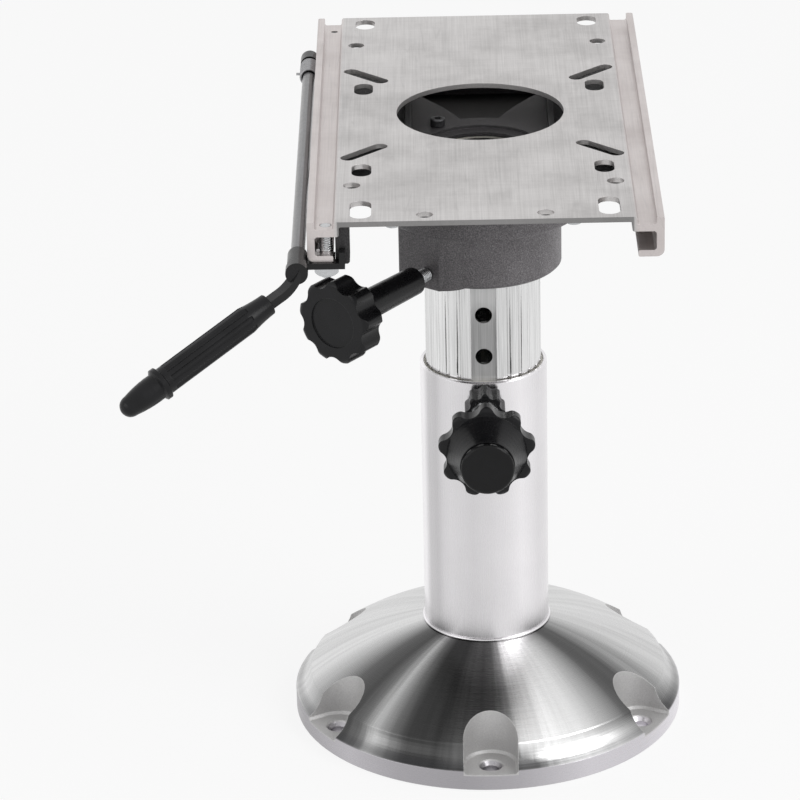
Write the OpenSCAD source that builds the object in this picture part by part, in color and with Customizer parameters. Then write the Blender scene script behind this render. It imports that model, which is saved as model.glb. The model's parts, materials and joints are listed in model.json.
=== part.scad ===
// Boat seat pedestal: floor base, tube, fluted post, swivel head and seat slide.
// Millimetres. The floor is z 0, the post stands on the Z axis, the front faces -Y.

/* [Base] */
// Outside diameter of the floor base
base_d = 228.6; // [215:0.1:260]
// Height of the base where the tube leaves it
base_h = 56.5; // [50:0.5:70]
// Height of the upright rim
rim_h = 12; // [8:0.5:15]
// Height of the shoulder above the rim
shoulder_h = 25; // [21:0.5:30]
// Wall of the hollow casting
base_wall = 5; // [4:0.5:7]
// Diameter of the circle through the floor screws
screw_circle_d = 204; // [196:1:212]
// Hole for a floor screw
screw_hole_d = 9; // [6:0.5:10]
// Radius of a screw pocket
pocket_r = 15.7; // [12:0.1:17]
// Height of the pocket floor
pocket_floor = 10; // [7:0.5:11]

/* [Tube and post] */
// Outside diameter of the fluted post
post_d = 66.6; // [60:0.1:72]
// Wall of the post
post_wall = 4.8; // [3.5:0.1:6]
// Bottom of the post at mid height setting
post_bottom = 40; // [38:0.5:60]
// Top of the post
post_top = 346; // [330:1:360]
// Number of flutes round the post
flutes = 28; // [20:1:36]
// Width of the flat channel down the front
channel_w = 14.5; // [12:0.5:18]
// Depth of the channel
channel_depth = 1.8; // [1.2:0.1:2.2]
// Distance between height settings
index_pitch = 25.4; // [22:0.1:28]
// Hole for the locking pin
index_hole_d = 9.8; // [9.6:0.1:11]
// Wall of the outer tube
tube_wall = 2.15; // [1.6:0.05:4]
// Bottom of the tube in the base
tube_seat = 24; // [20:0.5:28]
// Top of the tube
tube_top = 221.3; // [218:0.1:228]
// Thickness of the nylon guides
guide_t = 1.1; // [0.9:0.1:3]
// Radial clearance of moving fits
running_fit = 0.06; // [0.03:0.01:0.09]
// Clearance of fixed fits
seat_fit = 0.03; // [0.01:0.01:0.05]

/* [Height lock] */
// Height of the locking pin
lock_z = 210; // [200:0.5:212]
// Diameter of the pin head
pin_head_d = 9.2; // [8:0.1:9.4]
// Diameter of the pin shaft
pin_d = 6; // [5:0.1:6.5]
// Outside diameter of the pin sleeve
sleeve_d = 16; // [14:0.5:18]
// Diameter over the lobes of the small collar
collar_d = 23; // [21.5:0.5:26]
// Diameter over the lobes of the height knob
height_knob_d = 54.6; // [50:0.1:58]
// Lobes of the height knob
height_knob_lobes = 9; // [7:1:11]
// Distance from the post axis to the back of the height knob
height_knob_y = 99.5; // [95:0.5:110]
// Height of the cone on the knob face
cone_h = 18.5; // [14:0.5:22]

/* [Swivel head] */
// Bottom of the swivel hub
hub_bottom = 282.2; // [280:0.1:284]
// Wall of the hub outside its bearing
hub_wall = 10.4; // [8:0.1:12]
// Diameter of the round flange
flange_d = 118; // [114:1:124]
// Lower edge of the flange
flange_bottom = 315.9; // [310:0.1:325]
// Top of the head, under the runners
head_top = 352; // [351:0.1:353]
// Diameter of the bore seen from above
head_bore_d = 54.4; // [46:0.1:56]
// Height of the swivel lock
swivel_lock_z = 291.2; // [290.5:0.1:292]
// Direction of the swivel lock, from the front to the left
swivel_lock_angle = 36.7; // [25:0.1:45]
// Diameter of the lock stud
stud_d = 7.3; // [6:0.1:8]
// Diameter over the lobes of the swivel knob
swivel_knob_d = 48; // [44:0.5:52]
// Distance from the post axis to the end of the swivel knob
swivel_knob_end = 140; // [134:0.5:146]

/* [Seat plate] */
// Width over the rails
plate_w = 188.7; // [186:0.1:200]
// Length of the plate and its rails
plate_l = 338.2; // [334:0.1:350]
// Top of the plate
plate_top = 372.4; // [372.4:0.1:374]
// Thickness of the plate
plate_t = 2.85; // [2.4:0.05:3.4]
// Step down to the screw strips
step_drop = 4.3; // [3.8:0.1:4.6]
// Height of the rails
rail_h = 22.5; // [22.4:0.1:24]
// Thickness of the outer rail wall
rail_wall = 4.1; // [3.4:0.1:4.6]
// Diameter of the opening in the middle
opening_d = 94.2; // [80:0.1:100]
// Width of the corner slots
corner_slot_w = 11.5; // [9:0.1:13]
// Length of the front corner slots
front_slot_l = 26; // [20:0.5:30]
// Length of the rear corner slots
rear_slot_l = 17.5; // [14:0.5:20]
// Length of the diagonal slots
diagonal_slot_l = 33; // [26:0.5:36]
// Width of the diagonal slots
diagonal_slot_w = 8.5; // [7:0.1:10]
// Small round holes of the plate
plate_hole_d = 9.3; // [7:0.1:11]

/* [Slide] */
// Front end of the runners
runner_front = -82; // [-84:0.5:-76]
// Rear end of the runners
runner_rear = 118; // [110:0.5:122]
// Thickness of the runners
runner_t = 6; // [4:0.5:7]
// Thickness of the nylon liners
liner_t = 1.5; // [1.2:0.1:2]
// Distance between the notches of the rack
notch_pitch = 12.7; // [12:0.1:14]
// Diameter of the carriage bolts
carriage_bolt_d = 8; // [6:0.5:10]

/* [Lever] */
// Diameter of the lever rod
rod_d = 7.6; // [7:0.1:8]
// How far the rod passes the front end of the rail
rod_reach = 12.9; // [11.5:0.1:16]
// Distance from the rod's rear end to the end of the rail
rod_inset = 6.1; // [3:0.1:7]
// Wire of the return spring
wire_d = 1.6; // [1.2:0.1:1.8]
// Length of the grip
grip_l = 99; // [90:0.5:108]
// Thickness of the grip
grip_d = 14; // [12:0.1:15]
// Thickness of the lever arm
arm_t = 4.5; // [3.5:0.1:5.5]

/* [Hidden] */
$fn = 96;
e = 0.5;

post_r = post_d/2;
post_in_r = post_r - post_wall;
channel_y = post_r - channel_depth;
guide_in_r = post_r + running_fit;
guide_out_r = guide_in_r + guide_t;
tube_in_r = guide_out_r + seat_fit;
tube_r = tube_in_r + tube_wall;
guide_bottom = tube_top - 45.3;
guide_top = tube_top - 0.8;

base_r = base_d/2;
shoulder_r = base_r - 9.8;
neck_r = tube_r + 1.6;
base_hub_r = tube_r + 6.4;
screw_r = screw_circle_d/2;

sleeve_in = tube_in_r;
sleeve_out = tube_in_r + 27.5;
sleeve_r = sleeve_d/2;
pin_bore_r = pin_head_d/2 + running_fit;
cap_start = sleeve_out - 3.5;
pin_tip = channel_y + 0.6;
pin_shoulder = pin_tip + 13.9;
pin_end = height_knob_y + 4.5;
insert_r = 5;
insert_start = height_knob_y - 15.5;
insert_end = height_knob_y + 0.5;
height_knob_r = height_knob_d/2;
rim_t = 9;
cone_start = height_knob_y + rim_t;
cone_end = cone_start + cone_h;

bearing_in_r = post_r + running_fit;
bearing_out_r = bearing_in_r + 1.65;
hub_in_r = bearing_out_r + seat_fit;
hub_r = hub_in_r + hub_wall;
flange_r = flange_d/2;
groove_w = 9;
groove_r = post_r - 1.5;
lip_bottom = post_top + 1.5;
shoe_r = 4;
shoe_in = groove_r + 0.3;
shoe_out = hub_in_r + 6;
stud_in = shoe_out + 0.2;
boss_face = hub_r + 6.9;
knob_sleeve_start = boss_face + 12.6;
stud_end = knob_sleeve_start + 31;
swivel_knob_start = swivel_knob_end - 16;

half_w = plate_w/2;
flat_x = half_w - 14.95;
strip_z = plate_top - step_drop;
strip_under = strip_z - 4;
rail_bottom = plate_top - rail_h;
flange_t = 3.6;
hollow_z = rail_bottom + flange_t;
wall_x = half_w - rail_wall;
lip_x = half_w - 13.75;
bolt_x = half_w - 9.85;
bolt_y = -plate_l/2 + 7.6;
rear_screw_y = plate_l/2 - 12.6;
rear_screw_r = 1.95;
guide_pin_r = (wall_x - bolt_x - 3.175 - 0.6)/2;
rod_front = -plate_l/2 - rod_reach;
rod_rear = plate_l/2 - rod_inset;
slot_x = half_w - 28.35;

tongue_x0 = flat_x - 0.2;
tongue_x1 = wall_x - running_fit - liner_t - seat_fit;
tongue_z0 = hollow_z + running_fit + liner_t + seat_fit;
tongue_z1 = strip_under - running_fit - liner_t - seat_fit;
runner_in = 39;
carriage_x = 50;
carriage_y = 74;
web_x = 59;
web_top = head_top - 8;

rod_x = -half_w - 5.4;
rod_z = rail_bottom - 0.3;
rod_r = rod_d/2;
rack_x0 = -flat_x - 0.1;
rack_x1 = -flat_x + 6.4;
rack_z = head_top - 6;
notch_y = 10;
lever_base = [rod_x - 14.25, rod_front - 8, rod_z - 13.6];
lever_turn = 211.3;
lever_tilt = 24.4;

function bowed(a, b, sag, n) = [for (i = [0:n]) let (t = i/n, d = b - a)
  a + d*t + [d[1], -d[0]]/norm(d)*sag*4*t*(1 - t)];
function arc(c, r, a0, a1, n) = [for (i = [0:n]) let (a = a0 + (a1 - a0)*i/n)
  c + r*[cos(a), sin(a)]];
function dome() = bowed([neck_r, base_h], [shoulder_r, shoulder_h], -3.6, 16);

module on_height_lock() translate([0, 0, lock_z]) rotate([90, 0, 0]) children();
module on_swivel_lock() rotate([0, 0, -swivel_lock_angle]) translate([0, 0, swivel_lock_z])
  rotate([90, 0, 0]) children();
module on_rod(y) translate([rod_x, y, rod_z]) rotate([-90, 0, 0]) children();
module on_lever() translate(lever_base) rotate([0, lever_tilt, lever_turn]) children();
module along_y(y0, y1) translate([0, y1, 0]) rotate([90, 0, 0])
  linear_extrude(height = y1 - y0) children();
module ring(h, r_out, r_in) difference() {
  cylinder(h = h, r = r_out);
  translate([0, 0, -e]) cylinder(h = h + 2*e, r = r_in);
}
module slot(w, l, h) {
  translate([-w/2, -(l - w)/2, 0]) cube([w, l - w, h]);
  for (s = [-1, 1]) translate([0, s*(l - w)/2, 0]) cylinder(h = h, r = w/2);
}
// lobes joined by round scallops, one lobe on +Y
module lobed(r, n, lobe_r, h) {
  c = r - lobe_r;
  s = r*1.1;
  a = 180/n;
  scallop_r = sqrt(c*c + s*s - 2*c*s*cos(a)) - lobe_r;
  difference() {
    union() {
      linear_extrude(height = h) polygon([for (i = [0:2*n - 1])
        (i % 2 == 0 ? c : s)*[sin(a*i), cos(a*i)]]);
      for (i = [0:n - 1]) rotate([0, 0, 2*a*i]) translate([0, c, 0]) cylinder(h = h, r = lobe_r);
    }
    for (i = [0:n - 1]) rotate([0, 0, 2*a*i + a]) translate([0, s, -e])
      cylinder(h = h + 2*e, r = scallop_r);
  }
}
module soft_edge(r, h, c) rotate_extrude() polygon(concat([[0, 0], [r - c*1.6, 0]],
  bowed([r - c*1.6, 0], [r, c], 0.25*c, 4), bowed([r, h - c], [r - c*1.6, h], 0.25*c, 4),
  [[0, h]]));

// base
module base_pocket() {
  rotate_extrude() polygon([[0, -e], [screw_hole_d/2, -e], [screw_hole_d/2, pocket_floor - 2.75],
    [screw_hole_d/2 + 2.75, pocket_floor], [pocket_r - 1.5, pocket_floor],
    [pocket_r, pocket_floor + 1.5], [pocket_r, base_h], [0, base_h]]);
  rotate([90, 0, 90]) linear_extrude(height = base_r - screw_r + 5) polygon([
    [1.55 - pocket_r, pocket_floor], [pocket_r - 1.55, pocket_floor],
    [pocket_r - 0.05, pocket_floor + 1.5], [pocket_r - 0.05, base_h],
    [0.05 - pocket_r, base_h], [0.05 - pocket_r, pocket_floor + 1.5]]);
  intersection() {
    translate([0, 0, -e]) ring(pocket_floor - 4.5 + e, pocket_r - 1, screw_hole_d/2 + 5.5);
    translate([-screw_r, 0, -2*e]) cylinder(h = 20, r = base_r - base_wall);
  }
}
module base_hollow() difference() {
  rotate_extrude() polygon(concat([[0, -e], [base_r - base_wall, -e],
    [base_r - base_wall, rim_h - 2], [shoulder_r - 2.5, shoulder_h - base_wall]],
    [for (i = [len(dome()) - 1:-1:0]) dome()[i] - [2, base_wall]], [[0, base_h - base_wall]]));
  translate([0, 0, -2*e]) cylinder(h = base_h, r = base_hub_r);
  for (i = [0:5]) rotate([0, 0, 60*i - 90]) {
    translate([screw_r, 0, -2*e]) cylinder(h = base_h, r = pocket_r + 4);
    translate([screw_r, -pocket_r - 3.9, -2*e]) cube([30, 2*pocket_r + 7.8, base_h]);
    rotate([0, 0, 30]) translate([base_hub_r - 2, -2, 3]) cube([base_r, 4, base_h]);
  }
}
module base() color("#b9bcc2") difference() {
  rotate_extrude() polygon(concat([[0, 0], [base_r - 0.8, 0], [base_r, 0.8], [base_r, rim_h]],
    bowed([base_r, rim_h], [shoulder_r + 0.6, shoulder_h - 0.7], -1.5, 8),
    [for (i = [len(dome()) - 1:-1:0]) dome()[i]], [[0, base_h]]));
  base_hollow();
  for (i = [0:5]) rotate([0, 0, 60*i - 90]) translate([screw_r, 0, 0]) base_pocket();
  translate([0, 0, -e]) cylinder(h = base_h, r = tube_in_r + 0.4);
  translate([0, 0, tube_seat]) cylinder(h = base_h, r = tube_r + seat_fit);
}
module base_ring() color("#c9ccd0") translate([0, 0, base_h]) rotate_extrude()
  polygon(concat([[tube_r + seat_fit, 0]], arc([tube_r + 0.3, 0.9], 0.9, -80, 90, 8),
    [[tube_r + seat_fit, 1.8]]));

// tube and its guide
module outer_tube() color("#c4c7cb") difference() {
  rotate_extrude() polygon([[tube_in_r, tube_seat], [tube_r, tube_seat],
    [tube_r, tube_top - 0.8], [tube_r - 0.8, tube_top], [tube_in_r + 0.3, tube_top],
    [tube_in_r, tube_top - 0.3]]);
  on_height_lock() translate([0, 0, tube_in_r - 4]) cylinder(h = 12, r = sleeve_r + seat_fit);
}
module upper_bushing() color("#e8e6df") difference() {
  union() {
    translate([0, 0, guide_bottom]) ring(guide_top - guide_bottom, guide_out_r, guide_in_r);
    intersection() {
      translate([0.25 - channel_w/2, -guide_out_r, guide_bottom])
        cube([channel_w - 0.5, guide_out_r - channel_y - 0.25, guide_top - guide_bottom]);
      translate([0, 0, guide_bottom]) cylinder(h = 60, r = guide_out_r);
    }
  }
  on_height_lock() translate([0, 0, 20]) cylinder(h = 30, r = pin_bore_r);
}

// height lock
module pin_sleeve() color("#8f9296") on_height_lock() difference() {
  union() {
    translate([0, 0, sleeve_in]) cylinder(h = 0.8, r1 = sleeve_r - 0.8, r2 = sleeve_r);
    translate([0, 0, sleeve_in + 0.79]) cylinder(h = cap_start - sleeve_in - 0.79, r = sleeve_r);
  }
  translate([0, 0, sleeve_in - e]) cylinder(h = 40, r = pin_bore_r);
}
module sleeve_cap() color("#2a2b2d") on_height_lock() difference() {
  translate([0, 0, cap_start]) soft_edge(sleeve_r, sleeve_out - cap_start, 0.8);
  translate([0, 0, cap_start - e]) cylinder(h = 10, r = pin_d/2 + running_fit);
}
module pin_spring() color("#9da0a4") on_height_lock() for (i = [0:5])
  translate([0, 0, pin_shoulder + 0.6 + i*(cap_start - pin_shoulder - 1.2)/5]) rotate_extrude()
    translate([pin_d/2 + 0.6, 0]) circle(r = 0.5);
module tension_collar() color("#1d1d1f") on_height_lock() difference() {
  translate([0, 0, tube_r + 1.55]) intersection() {
    lobed(collar_d/2, 8, 1.9, 15.8);
    soft_edge(collar_d/2, 15.8, 1);
  }
  cylinder(h = 80, r = sleeve_r + running_fit);
}
module locking_pin() color("#a4a7ab") on_height_lock() {
  translate([0, 0, pin_tip]) cylinder(h = 1, r1 = pin_head_d/2 - 1, r2 = pin_head_d/2);
  translate([0, 0, pin_tip + 1]) cylinder(h = pin_shoulder - pin_tip - 1, r = pin_head_d/2);
  translate([0, 0, pin_shoulder - 1]) cylinder(h = pin_end - pin_shoulder + 1, r = pin_d/2);
}
module knob_insert() color("#b08d3f") on_height_lock() translate([0, 0, insert_start])
  ring(insert_end - insert_start, insert_r, pin_d/2 + seat_fit);
module height_knob() color("#1b1b1d") on_height_lock() difference() {
  union() {
    translate([0, 0, height_knob_y]) intersection() {
      lobed(height_knob_r, height_knob_lobes, 4.2, rim_t);
      soft_edge(height_knob_r, rim_t, 1.6);
    }
    rotate_extrude() polygon(concat([[0, insert_start - 14], [8.7, insert_start - 14],
      [9.5, insert_start - 13.2], [9.5, height_knob_y - 2.5], [12, height_knob_y],
      [height_knob_r - 6, height_knob_y], [height_knob_r - 6, cone_start]],
      bowed([height_knob_r - 4.8, cone_start], [15.2, cone_end], -0.8, 6), [[0, cone_end]]));
  }
  translate([0, 0, insert_start - 15]) cylinder(h = 30, r = pin_d/2 + 0.2);
  translate([0, 0, insert_start]) cylinder(h = insert_end - insert_start,
    r = insert_r + seat_fit);
  translate([0, 0, insert_start]) cylinder(h = pin_end + 0.3 - insert_start,
    r = pin_d/2 + seat_fit);
  translate([0, 0, cone_end - 7]) cylinder(h = 10, r = 8 + seat_fit);
}
module height_knob_cap() color("#222224") on_height_lock() translate([0, 0, cone_end]) {
  soft_edge(14.8, 4.5, 1.2);
  translate([0, 0, -6.5]) cylinder(h = 7, r = 8);
}

// post
module post() color("#c6c9cd") difference() {
  translate([0, 0, post_bottom]) linear_extrude(height = post_top - post_bottom) difference() {
    circle(r = post_r);
    circle(r = post_in_r);
    translate([-channel_w/2, -post_r - 5]) square([channel_w, 5 + channel_depth]);
    for (i = [2:flutes - 2]) rotate([0, 0, 360*i/flutes]) translate([0, -post_r - 0.9])
      circle(r = 1.6);
  }
  for (k = [-3:2]) translate([0, 0, lock_z + index_pitch*k]) rotate([90, 0, 0])
    translate([0, 0, post_in_r - 6]) cylinder(h = 20, r = index_hole_d/2);
  translate([0, 0, swivel_lock_z - groove_w/2]) ring(groove_w, post_r + 5, groove_r);
}
module lower_bushing() color("#e8e6df") translate([0, 0, post_bottom - 2]) difference() {
  cylinder(h = 24, r = tube_in_r - running_fit);
  translate([0, 0, -e]) cylinder(h = 30, r = post_in_r);
  translate([0, 0, 2]) cylinder(h = 30, r = post_r + seat_fit);
}
module thrust_washer() color("#dddbd2") translate([0, 0, post_top])
  ring(lip_bottom - post_top, post_r - 0.3, head_bore_d/2 + 0.8);

// swivel head
module head_arm() {
  translate([0, 0, web_top - 1]) linear_extrude(height = head_top - web_top + 1) polygon(concat(
    [[0, 30]], bowed([10, 41], [34, 84], -1.8, 8), arc([40, 86], 6, 180, 90, 5),
    arc([web_x - 6, 86], 6, 90, 0, 5), bowed([web_x, 84], [54, 20], -2.5, 8), [[30, 0]]));
  rotate([0, 0, atan2(carriage_y, carriage_x)]) rotate([90, 0, 0]) translate([0, 0, -2.5])
    linear_extrude(height = 5) polygon([[hub_r - 2, web_top - 1], [78, web_top - 1],
      [78, web_top - 7], [hub_r - 2, flange_bottom + 6]]);
}
// block beside the stud, with a soft corner on the left and a hollow one on the right
module lock_boss() rotate([0, 0, -swivel_lock_angle]) translate([0, 0, hub_bottom])
  linear_extrude(height = flange_bottom + 4 - hub_bottom) polygon(concat(
    [[-21.5, -hub_r + 16]], arc([-18.5, -boss_face + 3], 3, 180, 270, 6), [[8, -boss_face]],
    bowed([9.5, -boss_face + 1.5], [17.5, -hub_r + 4.5], 1.2, 6), [[17.5, -hub_r + 16]]));
module head_web() {
  translate([-web_x, -88, web_top - 3]) cube([2*web_x, 200, 3]);
  translate([-web_x, 108, web_top - 3]) cube([2*web_x, 4, head_top - web_top + 3]);
  for (x = [-web_x, web_x - 4]) translate([x, 60, web_top - 3])
    cube([4, 52, head_top - web_top + 3]);
}
module spider() color("#4b4c4e") difference() {
  union() {
    rotate_extrude() polygon(concat([[0, hub_bottom], [hub_r - 1.2, hub_bottom],
      [hub_r, hub_bottom + 1.2], [hub_r, head_top], [0, head_top]]));
    difference() {
      rotate_extrude() polygon(concat([[0, flange_bottom]],
        bowed([flange_r - 2, flange_bottom], [flange_r, flange_bottom + 2], 0.5, 4),
        [[flange_r, web_top], [0, web_top]]));
      difference() {
        translate([0, 0, flange_bottom - 1]) cylinder(h = web_top - 4 - flange_bottom,
          r = flange_r - 5);
        for (i = [0:7]) rotate([0, 0, 45*i + 22.5]) translate([0, -2, flange_bottom + 5])
          cube([flange_r, 4, 60]);
      }
    }
    for (x = [0, 1], y = [0, 1]) mirror([x, 0, 0]) mirror([0, y, 0]) head_arm();
    head_web();
    lock_boss();
  }
  translate([0, 0, hub_bottom - e]) cylinder(h = lip_bottom - hub_bottom + e, r = hub_in_r);
  translate([0, 0, hub_bottom - e]) cylinder(h = 90, r = head_bore_d/2);
  translate([0, 0, head_top - 2]) cylinder(h = 10, r = hub_in_r - 1.4);
  on_swivel_lock() {
    translate([0, 0, 20]) cylinder(h = 60, r = stud_d/2 + running_fit);
    translate([0, 0, 20]) cylinder(h = shoe_out + 0.1 - 20, r = shoe_r + running_fit);
  }
  rotate([0, 0, 125.5]) translate([hub_in_r + 6.2, 0, head_top - 18])
    cylinder(h = 20, r = 2.5 + seat_fit);
  for (x = [-1, 1], y = [-1, 1]) translate([x*carriage_x, y*carriage_y, head_top - 16])
    cylinder(h = 20, r = carriage_bolt_d/2 + seat_fit);
}
module swivel_bushing() color("#e8e6df") translate([0, 0, swivel_lock_z + 6])
  ring(post_top - swivel_lock_z - 6, bearing_out_r, bearing_in_r);
module brake_shoe() color("#b08d3f") difference() {
  on_swivel_lock() translate([0, 0, groove_r - 3]) cylinder(h = shoe_out - groove_r + 3,
    r = shoe_r);
  translate([0, 0, hub_bottom - 10]) cylinder(h = 40, r = shoe_in);
}
module hub_screw() color("#77797c") rotate([0, 0, 125.5])
  translate([hub_in_r + 6.2, 0, head_top - 17]) difference() {
    union() {
      cylinder(h = 18, r = 2.5);
      translate([0, 0, 17]) soft_edge(4.3, 4.6, 0.5);
    }
    translate([0, 0, 19]) cylinder(h = 5, r = 2.3, $fn = 6);
  }

// swivel lock
module lock_stud() color("#c8cacd") on_swivel_lock() translate([0, 0, stud_in]) {
  cylinder(h = 0.8, r1 = stud_d/2 - 0.8, r2 = stud_d/2);
  translate([0, 0, 0.8]) cylinder(h = stud_end - stud_in - 0.8, r = stud_d/2);
}
module swivel_knob_insert() color("#b08d3f") on_swivel_lock()
  translate([0, 0, knob_sleeve_start + 1]) ring(stud_end - knob_sleeve_start - 1, 5.5,
    stud_d/2 + seat_fit);
module swivel_knob() color("#1b1b1d") on_swivel_lock() difference() {
  union() {
    rotate_extrude() polygon([[0, knob_sleeve_start], [7.4, knob_sleeve_start],
      [8, knob_sleeve_start + 0.6], [8.6, swivel_knob_start - 6], [11, swivel_knob_start],
      [11, swivel_knob_end - 3], [0, swivel_knob_end - 3]]);
    translate([0, 0, swivel_knob_start]) intersection() {
      lobed(swivel_knob_d/2, 9, 3.8, 16);
      soft_edge(swivel_knob_d/2, 16, 2);
    }
  }
  translate([0, 0, swivel_knob_end - 0.9]) cylinder(h = 5, r1 = 14.2, r2 = 15.2);
  translate([0, 0, knob_sleeve_start - e]) cylinder(h = 1 + e + 0.01, r = stud_d/2 + 0.2);
  translate([0, 0, knob_sleeve_start + 1]) cylinder(h = stud_end + 0.3 - knob_sleeve_start - 1,
    r = 5.5 + seat_fit);
}

// seat plate, one extrusion with both rails
function rail_half() = concat(
  [[flat_x - 1, plate_top]], arc([flat_x - 0.6, plate_top - 1.4], 1.4, 75, 0, 4),
  arc([flat_x + 2.1, strip_z + 1.3], 1.3, 180, 270, 4), [[wall_x - 0.8, strip_z]],
  [[wall_x, strip_z + 0.8], [wall_x, plate_top - 0.4], [wall_x + 0.4, plate_top]],
  arc([half_w - 0.9, plate_top - 0.9], 0.9, 90, 0, 4),
  arc([half_w - 4, rail_bottom + 4], 4, 0, -90, 8),
  arc([lip_x + 0.8, rail_bottom + 0.8], 0.8, 270, 180, 3),
  arc([lip_x + 0.8, hollow_z - 0.8], 0.8, 180, 90, 3),
  [[wall_x - 1, hollow_z], [wall_x, hollow_z + 1]],
  [[wall_x, strip_under - 1], [wall_x - 1, strip_under]],
  arc([flat_x - 0.8, strip_under + 1.2], 1.2, 270, 180, 4),
  arc([flat_x - 3, plate_top - plate_t - 1], 1, 0, 90, 3));
module in_corners() for (x = [-1, 1]) translate([x*slot_x, 0, plate_top - 10]) children();
module seat_plate() color("#c9cacc") difference() {
  along_y(-plate_l/2, plate_l/2) polygon(concat(rail_half(),
    [for (i = [len(rail_half()) - 1:-1:0]) [-rail_half()[i][0], rail_half()[i][1]]]));
  translate([0, 0, plate_top - 10]) cylinder(h = 20, r = opening_d/2);
  in_corners() {
    translate([0, plate_l/2 - 13.1, 0]) slot(corner_slot_w, rear_slot_l, 20);
    translate([0, 18.1 - plate_l/2, 0]) slot(corner_slot_w, front_slot_l, 20);
    for (y = [40.5, -91.5]) translate([0, y, 0]) slot(corner_slot_w - 0.7, 19, 20);
  }
  for (x = [-1, 1]) {
    for (y = [118, -114.5]) translate([x*(slot_x + 5), y, plate_top - 10])
      cylinder(h = 20, r = plate_hole_d/2);
    for (y = [-63, 63]) translate([x*(slot_x - 1.2), y, plate_top - 10])
      rotate([0, 0, -x*sign(y)*45]) slot(diagonal_slot_w, diagonal_slot_l, 20);
    translate([x*32, 9.1 - plate_l/2, plate_top - 10]) cylinder(h = 20, r = 4.5);
  }
  translate([-bolt_x, bolt_y, rail_bottom - e]) cylinder(h = 30, r = 3.175 + seat_fit);
  translate([-bolt_x, rear_screw_y, rail_bottom - e]) cylinder(h = 30, r = rear_screw_r + seat_fit);
}
module front_stop() color("#55565a") along_y(bolt_y - 2, bolt_y + 11.5) polygon([
  [-flat_x - 0.1, rail_bottom - 2.2], [-flat_x + 1, rail_bottom - 3.2],
  [-flat_x + 6.4, rail_bottom - 3.2], [-flat_x + 7.4, rail_bottom - 2.2],
  [-flat_x + 7.4, plate_top - plate_t - seat_fit],
  [-flat_x + 3, plate_top - plate_t - seat_fit],
  [-flat_x + 2.03, plate_top - plate_t - 1], [-flat_x + 2.03, strip_under + 0.6],
  [-flat_x + 1.2, strip_under - seat_fit], [-flat_x - 0.1, strip_under - seat_fit]]);

// bracket, bolts and rod
module bracket_ring(y0, l) on_rod(y0) cylinder(h = l, r = rod_r + 1.6);
module rod_bracket() color("#232426") difference() {
  union() {
    bracket_ring(bolt_y - 14.5, 18);
    translate([rod_x, bolt_y - 9.5, rail_bottom - 3.3 - seat_fit])
      cube([-flat_x - 0.4 - rod_x, 17, 3.3]);
    translate([-flat_x - 1, bolt_y - 9.5, rail_bottom - 3.3 - seat_fit]) cube([5.9, 7, 3.3]);
    translate([-flat_x + 1.8, bolt_y - 9.5, rail_bottom - 3.3 - seat_fit]) cube([3.1, 7, 9.4]);
  }
  on_rod(bolt_y - 30) cylinder(h = 60, r = rod_r + running_fit);
  translate([-bolt_x, bolt_y, rail_bottom - 10]) cylinder(h = 20, r = 3.175 + seat_fit);
}
module bracket_bolt() color("#3a3b3e") translate([-bolt_x, bolt_y, rail_bottom - 11]) {
  cylinder(h = 0.8, r1 = 2.4, r2 = 3.175);
  translate([0, 0, 0.8]) cylinder(h = strip_z - rail_bottom + 9.8, r = 3.175);
  translate([0, 0, strip_z - rail_bottom + 10.6]) cylinder(h = 0.4, r1 = 3.175, r2 = 2.775);
}
module bracket_nut() color("#c4c5c6") translate([-bolt_x, bolt_y, rail_bottom - 9]) difference() {
  intersection() {
    cylinder(h = 5.6, r = 6.41, $fn = 6);
    soft_edge(6.4, 5.6, 0.5);
  }
  translate([0, 0, -e]) cylinder(h = 10, r = 3.175 + seat_fit);
}
module bracket_pin() color("#c8c9ca") translate([-bolt_x - 3.225 - guide_pin_r, bolt_y + 12,
  hollow_z + guide_pin_r + running_fit]) rotate([90, 0, 0]) cylinder(h = 14, r = guide_pin_r);
module rear_screw() color("#3a3b3e") translate([-bolt_x, rear_screw_y, rail_bottom - 3 - seat_fit])
  difference() {
    union() {
      translate([0, 0, -2.4]) soft_edge(3.9, 2.4, 0.7);
      translate([0, 0, -0.5]) cylinder(h = strip_z - rail_bottom + 3.3, r = rear_screw_r);
    }
    translate([0, 0, -3]) cylinder(h = 1.9, r = 1.5, $fn = 6);
  }
module rear_clip() color("#232426") difference() {
  union() {
    bracket_ring(rear_screw_y - 6, 11);
    translate([rod_x, rear_screw_y - 6, rail_bottom - 3 - seat_fit])
      cube([-lip_x - 0.5 - rod_x, 11, 3]);
  }
  on_rod(rear_screw_y - 30) cylinder(h = 60, r = rod_r + running_fit);
  translate([-bolt_x, rear_screw_y, rail_bottom - 10]) cylinder(h = 20, r = rear_screw_r + seat_fit);
}
module return_spring() color("#a9abae") for (i = [0:12])
  on_rod(rear_screw_y - 28.5 + i*(wire_d + 0.03)) rotate_extrude()
    translate([rod_r + 0.14 + wire_d/2, 0]) circle(d = wire_d);
module lever_rod() color("#c2c4c7") on_rod(rod_front) {
  cylinder(h = rod_rear - rod_front - 0.8, r = rod_r);
  translate([0, 0, rod_rear - rod_front - 0.8]) cylinder(h = 0.8, r1 = rod_r, r2 = rod_r - 0.8);
}
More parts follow.
